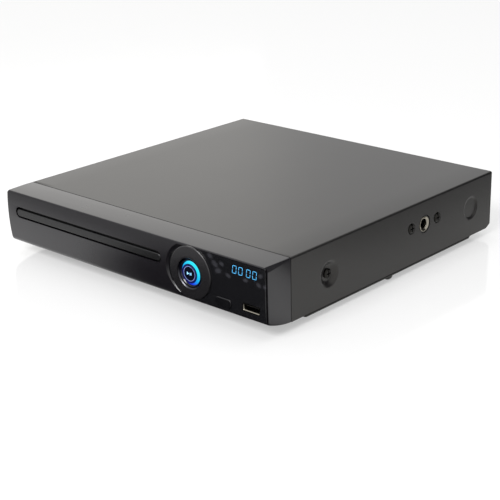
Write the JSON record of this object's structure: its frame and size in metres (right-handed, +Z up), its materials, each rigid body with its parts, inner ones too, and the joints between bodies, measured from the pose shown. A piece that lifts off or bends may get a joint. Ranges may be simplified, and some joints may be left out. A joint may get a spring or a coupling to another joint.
{
  "type": "disc player with tray",
  "caption": "Slim disc player with a sliding tray, a round lit play button in a raised dial, a dark display window and a side jack; steel cover, moulded front.",
  "frame": {"origin": "on the ground under the middle of the outline, which runs from the dial's crest to the ends of the phono sockets", "axes": "+Z up; the front with its tray faces -Y; +X is to the right of someone who looks at the front"},
  "size_m": [0.2256, 0.2382, 0.0445],
  "materials": {
    "pan_paint": "satin",
    "cover_paint": "satin",
    "front_plastic": "satin",
    "window_gloss": "gloss",
    "dial_plastic": "satin",
    "bezel_chrome": "polished",
    "key_gloss": "gloss",
    "lit_ring": "gloss",
    "power_key_plastic": "gloss",
    "green_board": "satin",
    "pale_plastic": "satin",
    "display_module": "gloss",
    "sensor_plastic": "gloss",
    "plated_steel": "satin",
    "loader_plastic": "satin",
    "soft_rubber": "matte",
    "bare_steel": "satin",
    "white_acetal": "satin",
    "tray_plastic": "satin",
    "door_plastic": "satin",
    "bright_steel": "polished",
    "brass_pulley": "satin",
    "motor_can": "satin",
    "deck_plastic": "satin",
    "sled_alloy": "satin",
    "lens_holder_plastic": "satin",
    "chip_plastic": "matte",
    "tan_board": "satin",
    "core_steel": "satin",
    "capacitor_sleeve": "gloss",
    "heat_sink_alloy": "satin",
    "socket_black": "satin",
    "socket_yellow": "gloss",
    "socket_white": "gloss",
    "socket_red": "gloss",
    "socket_orange": "gloss",
    "screw_steel": "satin",
    "ribbon_film": "satin",
    "foot_rubber": "matte"
  },
  "bodies": {
    "case": {"base_pan": "pan_paint", "top_cover": "cover_paint", "front_panel": "front_plastic", "display_window": "window_gloss", "dial_ring": "dial_plastic", "button_bezel": "bezel_chrome", "front_board": "green_board", "push_switches": "pale_plastic", "led_display": "display_module", "remote_sensor": "sensor_plastic", "usb_shell": "plated_steel", "usb_tongue": "socket_black", "loader_frame": "loader_plastic", "pivot_bushes": "soft_rubber", "clamp_bridge": "bare_steel", "tray_gear_axle": "bright_steel", "drive_belt": "soft_rubber", "tray_motor": "motor_can", "main_board": "green_board", "board_chips": "chip_plastic", "power_board": "tan_board", "transformer": "core_steel", "capacitors": "capacitor_sleeve", "heat_sink": "heat_sink_alloy", "mains_inlet": "socket_black", "phono_block": "socket_black", "phono_shells": "plated_steel", "yellow_ring": "socket_yellow", "white_ring": "socket_white", "red_ring": "socket_red", "orange_ring": "socket_orange", "video_socket": "plated_steel", "jack_body": "socket_black", "jack_nose_ring": "plated_steel", "jack_bracket": "socket_black", "side_screws": "screw_steel", "rear_screws": "screw_steel", "board_screws": "screw_steel", "ribbon_cables": "ribbon_film", "rubber_feet": "foot_rubber"},
    "tray_unit": {"tray": "tray_plastic", "tray_door": "door_plastic"},
    "drive_gear": {"tray_gear": "white_acetal"},
    "motor_pulley": {"motor_pulley": "brass_pulley"},
    "cam": {"cam_slider": "white_acetal"},
    "deck_unit": {"deck": "deck_plastic", "guide_rods": "bright_steel", "spindle_motor": "motor_can", "sled_motor": "motor_can"},
    "turntable": {"turntable": "loader_plastic", "turntable_mat": "soft_rubber"},
    "clamp": {"clamp_puck": "white_acetal"},
    "sled": {"pickup_sled": "sled_alloy"},
    "lens": {"pickup_lens": "lens_holder_plastic"},
    "sled_gear": {"sled_gear": "white_acetal"},
    "sled_pinion": {"sled_pinion": "brass_pulley"},
    "play_key": {"play_button": "key_gloss", "glow_ring": "lit_ring"},
    "power_key": {"power_button": "power_key_plastic"},
    "open_key": {"open_key": "front_plastic"}
  },
  "joints": [
    {"name": "tray_slide", "type": "slide", "parent": "case", "child": "tray_unit", "axis": [0, -1, 0], "range_m": [0, 0.134]},
    {"name": "tray_gear_spin", "type": "hinge", "parent": "case", "child": "drive_gear", "pos_m": [-0.0922, -0.0999, 0.02113], "axis": [1, 0, 0], "range_deg": [0, 965]},
    {"name": "motor_pulley_spin", "type": "hinge", "parent": "case", "child": "motor_pulley", "pos_m": [-0.0983, -0.0709, 0.01953], "axis": [1, 0, 0], "range_deg": [0, 2945]},
    {"name": "deck_tilt", "type": "hinge", "parent": "case", "child": "deck_unit", "pos_m": [-0.0362, 0.0366, 0.0244], "axis": [1, 0, 0], "range_deg": [0, 3.5]},
    {"name": "cam_slide", "type": "slide", "parent": "case", "child": "cam", "axis": [1, 0, 0], "range_m": [0, 0.012]},
    {"name": "turntable_spin", "type": "hinge", "parent": "deck_unit", "child": "turntable", "pos_m": [-0.0362, -0.0474, 0.0326], "axis": [0, 0, 1], "continuous": true},
    {"name": "clamp_spin", "type": "hinge", "parent": "case", "child": "clamp", "pos_m": [-0.0362, -0.0474, 0.0364], "axis": [0, 0, 1], "continuous": true},
    {"name": "sled_slide", "type": "slide", "parent": "deck_unit", "child": "sled", "axis": [0, 1, 0], "range_m": [0, 0.034]},
    {"name": "sled_gear_spin", "type": "hinge", "parent": "deck_unit", "child": "sled_gear", "pos_m": [-0.0022, -0.0074, 0.0206], "axis": [0, 0, 1], "range_deg": [-350, 0]},
    {"name": "sled_pinion_spin", "type": "hinge", "parent": "deck_unit", "child": "sled_pinion", "pos_m": [0.0098, -0.01798, 0.0166], "axis": [0, 0, 1], "range_deg": [0, 1048]},
    {"name": "lens_focus", "type": "slide", "parent": "sled", "child": "lens", "axis": [0, 0, 1], "range_m": [-0.0004, 0.0004], "stiffness_N_per_m": 90},
    {"name": "play_press", "type": "slide", "parent": "case", "child": "play_key", "axis": [0, 1, 0], "range_m": [0, 0.0006], "stiffness_N_per_m": 150},
    {"name": "power_press", "type": "slide", "parent": "case", "child": "power_key", "axis": [0, 1, 0], "range_m": [0, 0.0006], "stiffness_N_per_m": 150},
    {"name": "open_press", "type": "slide", "parent": "case", "child": "open_key", "axis": [0, 1, 0], "range_m": [0, 0.0006], "stiffness_N_per_m": 150}
  ],
  "couplings": [
    {"joint": "tray_gear_spin", "follows": "tray_slide", "rad_per_m": 125},
    {"joint": "motor_pulley_spin", "follows": "tray_slide", "rad_per_m": 381.76},
    {"joint": "cam_slide", "follows": "deck_tilt", "m_per_rad": 0.19644},
    {"joint": "clamp_spin", "follows": "turntable_spin", "ratio": 1},
    {"joint": "sled_gear_spin", "follows": "sled_slide", "rad_per_m": -178.57},
    {"joint": "sled_pinion_spin", "follows": "sled_slide", "rad_per_m": 535.71}
  ]
}
